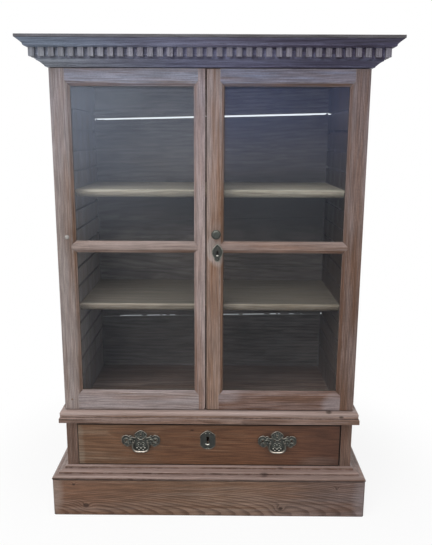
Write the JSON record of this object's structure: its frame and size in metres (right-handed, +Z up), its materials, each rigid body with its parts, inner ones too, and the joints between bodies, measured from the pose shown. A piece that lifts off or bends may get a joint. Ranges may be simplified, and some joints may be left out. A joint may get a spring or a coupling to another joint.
{
  "type": "glazed display cabinet",
  "caption": "Free-standing pine display cabinet with a dentil cornice, glazed doors, shelves, and a drawer with hanging bails in a moulded pedestal.",
  "frame": {"origin": "on the floor, below the middle of the bounding box", "axes": "+Z up; the front with the doors faces -Y; +X is to the right seen from the front"},
  "size_m": [1.054, 0.485, 1.458],
  "materials": {
    "limed_pine": "limed and waxed",
    "brown_pine": "stained and waxed",
    "plain_pine": "bare and aged",
    "aged_brass": "aged",
    "dark_steel": "dull",
    "glass": "clear"
  },
  "bodies": {
    "cabinet": {"cornice_board": "limed_pine", "crown_front": "limed_pine", "crown_returns": "limed_pine", "dentil_rails": "limed_pine", "dentils": "limed_pine", "bed_moulding": "limed_pine", "frieze_board": "limed_pine", "side_left": "limed_pine", "side_right": "limed_pine", "top_board": "plain_pine", "back_boards": "plain_pine", "back_nails": "dark_steel", "shelf_upper": "plain_pine", "shelf_lower": "plain_pine", "cabinet_hinges": "dark_steel", "waist_board": "limed_pine", "waist_band": "limed_pine", "pedestal_top": "plain_pine", "pedestal_posts": "limed_pine", "pedestal_sides": "limed_pine", "pedestal_back": "plain_pine", "drawer_top_rail": "plain_pine", "drawer_bottom_rail": "plain_pine", "drawer_runners": "plain_pine", "base_moulding": "limed_pine", "plinth_front": "brown_pine", "plinth_sides": "brown_pine", "glue_blocks": "plain_pine"},
    "left_door": {"door_left_outer_stile": "limed_pine", "door_left_meeting_stile": "limed_pine", "door_left_top_rail": "limed_pine", "door_left_glazing_bar": "limed_pine", "door_left_bottom_rail": "limed_pine", "door_left_panes": "glass", "door_left_beads": "plain_pine", "door_left_hinges": "dark_steel", "door_left_screw": "aged_brass"},
    "right_door": {"door_right_outer_stile": "limed_pine", "door_right_meeting_stile": "limed_pine", "door_right_top_rail": "limed_pine", "door_right_glazing_bar": "limed_pine", "door_right_bottom_rail": "limed_pine", "door_right_panes": "glass", "door_right_beads": "plain_pine", "door_right_hinges": "dark_steel", "door_right_knob": "aged_brass", "door_right_escutcheon": "aged_brass", "door_right_lock": "dark_steel"},
    "door_bolt": {"door_bolt": "dark_steel"},
    "drawer": {"drawer_front": "brown_pine", "drawer_sides": "plain_pine", "drawer_back": "plain_pine", "drawer_bottom": "plain_pine", "handle_plates": "aged_brass", "handle_posts": "aged_brass", "drawer_escutcheon": "aged_brass", "drawer_lock": "dark_steel"},
    "drawer_bolt": {"drawer_bolt": "dark_steel"},
    "bail_left": {"bail_left": "aged_brass"},
    "bail_right": {"bail_right": "aged_brass"}
  },
  "joints": [
    {"name": "left_door_hinge", "type": "hinge", "parent": "cabinet", "child": "left_door", "pos_m": [-0.455, -0.14775, 0.862], "axis": [0, 0, -1], "range_deg": [0, 170]},
    {"name": "right_door_hinge", "type": "hinge", "parent": "cabinet", "child": "right_door", "pos_m": [0.455, -0.14775, 0.862], "axis": [0, 0, 1], "range_deg": [0, 170]},
    {"name": "door_bolt_slide", "type": "slide", "parent": "right_door", "child": "door_bolt", "axis": [-1, 0, 0], "range_m": [0, 0.009]},
    {"name": "drawer_slide", "type": "slide", "parent": "cabinet", "child": "drawer", "axis": [0, -1, 0], "range_m": [0, 0.27]},
    {"name": "drawer_bolt_slide", "type": "slide", "parent": "drawer", "child": "drawer_bolt", "axis": [0, 0, 1], "range_m": [0, 0.009]},
    {"name": "bail_left_swing", "type": "hinge", "parent": "drawer", "child": "bail_left", "pos_m": [-0.218, -0.1825, 0.238], "axis": [-1, 0, 0], "range_deg": [0, 100]},
    {"name": "bail_right_swing", "type": "hinge", "parent": "drawer", "child": "bail_right", "pos_m": [0.218, -0.1825, 0.238], "axis": [-1, 0, 0], "range_deg": [0, 100]}
  ]
}
